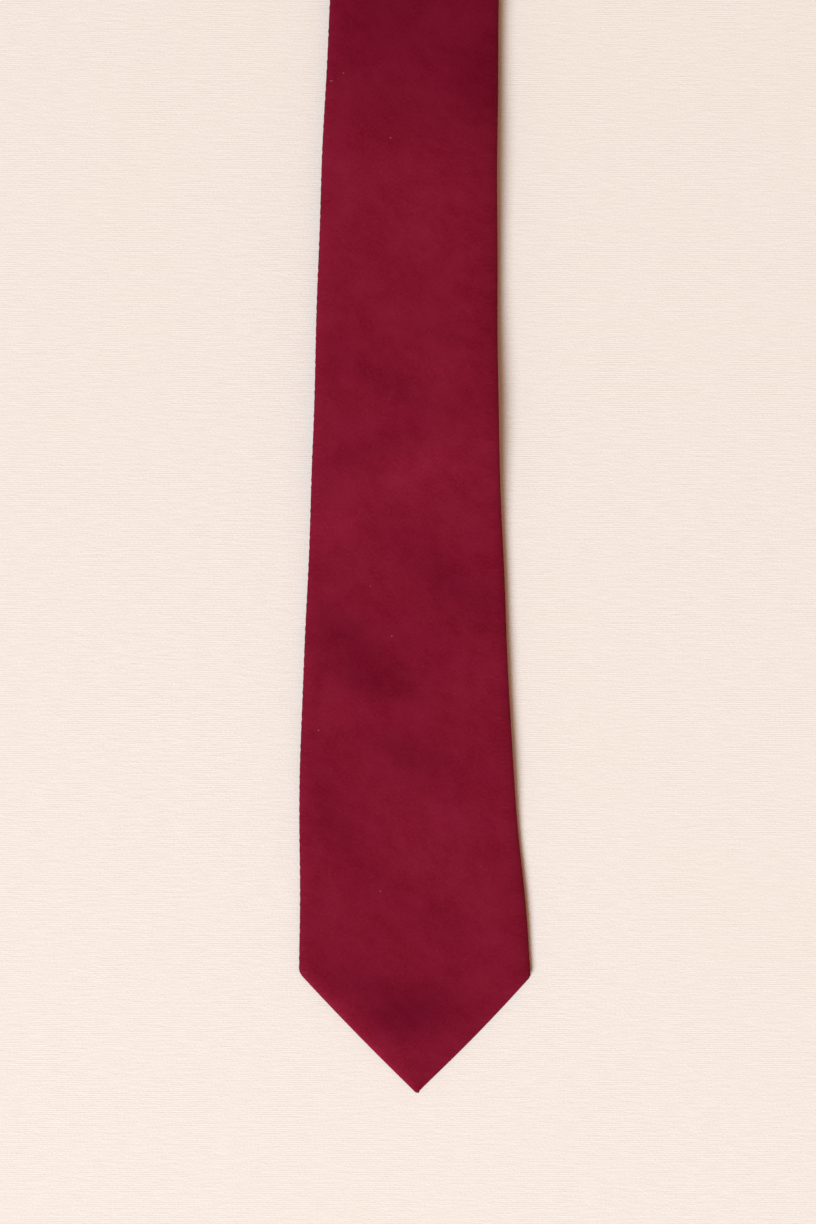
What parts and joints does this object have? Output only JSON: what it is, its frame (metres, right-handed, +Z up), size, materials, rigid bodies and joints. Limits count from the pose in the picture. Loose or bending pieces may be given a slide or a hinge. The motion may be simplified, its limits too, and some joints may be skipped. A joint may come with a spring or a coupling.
{
  "type": "necktie",
  "caption": "Plain burgundy necktie with a 90-degree point, laid face up and folded at the neck, with tipping, interlining, keeper loop and a blank label.",
  "frame": {"origin": "middle of the underside of the folded tie, on the surface it lies on", "axes": "+Y along the tie from the front blade's tip to the neck fold; +X to the right seen from above with the tip towards you; +Z up, out of the front blade's face"},
  "size_m": [0.076, 0.847, 0.014],
  "materials": {
    "tie_cloth": "matte fine twill, burgundy",
    "tipping_cloth": "soft satin lining, burgundy",
    "interlining_wool": "brushed wool canvas, natural",
    "sewing_thread": "twisted thread, burgundy",
    "label_cloth": "woven satin, black, blank",
    "care_label_satin": "printed-tape satin, white, blank"
  },
  "bodies": {
    "front_upper": {"front_blade_upper": "tie_cloth", "neck_band_front": "tie_cloth", "front_bias_seam": "sewing_thread", "blade_interlining_upper": "interlining_wool", "tail_interlining_front": "interlining_wool", "slip_stitch_front": "sewing_thread"},
    "front_lower": {"front_blade_lower": "tie_cloth", "blade_interlining_lower": "interlining_wool", "front_tipping": "tipping_cloth", "slip_stitch_lower": "sewing_thread", "front_bar_tack": "sewing_thread", "blank_label": "label_cloth", "label_stitch_left": "label_cloth", "label_stitch_right": "label_cloth", "keeper_loop": "tie_cloth", "keeper_tack_left": "sewing_thread", "keeper_tack_right": "sewing_thread"},
    "neck_fold": {"neck_band_fold": "tie_cloth", "tail_interlining_fold": "interlining_wool", "slip_stitch_fold": "sewing_thread"},
    "tail": {"neck_band_tail": "tie_cloth", "tail_blade": "tie_cloth", "tail_bias_seam": "sewing_thread", "tail_interlining": "interlining_wool", "tail_tipping": "tipping_cloth", "slip_stitch_tail": "sewing_thread", "tail_bar_tack": "sewing_thread", "care_label": "care_label_satin"}
  },
  "joints": [
    {"name": "blade_lift", "type": "hinge", "parent": "front_upper", "child": "front_lower", "pos_m": [-0.0021, -0.1975, 0.0055], "axis": [-1, 0, 0], "range_deg": [0, 90]},
    {"name": "fold_open_upper", "type": "hinge", "parent": "front_upper", "child": "neck_fold", "pos_m": [0.001, 0.422, 0.0125], "axis": [1, 0, 0], "range_deg": [0, 90]},
    {"name": "fold_open_lower", "type": "hinge", "parent": "neck_fold", "child": "tail", "pos_m": [0.001, 0.422, 0.0015], "axis": [1, 0, 0], "range_deg": [0, 90]}
  ],
  "couplings": [
    {"joint": "fold_open_lower", "follows": "fold_open_upper", "ratio": 1}
  ]
}
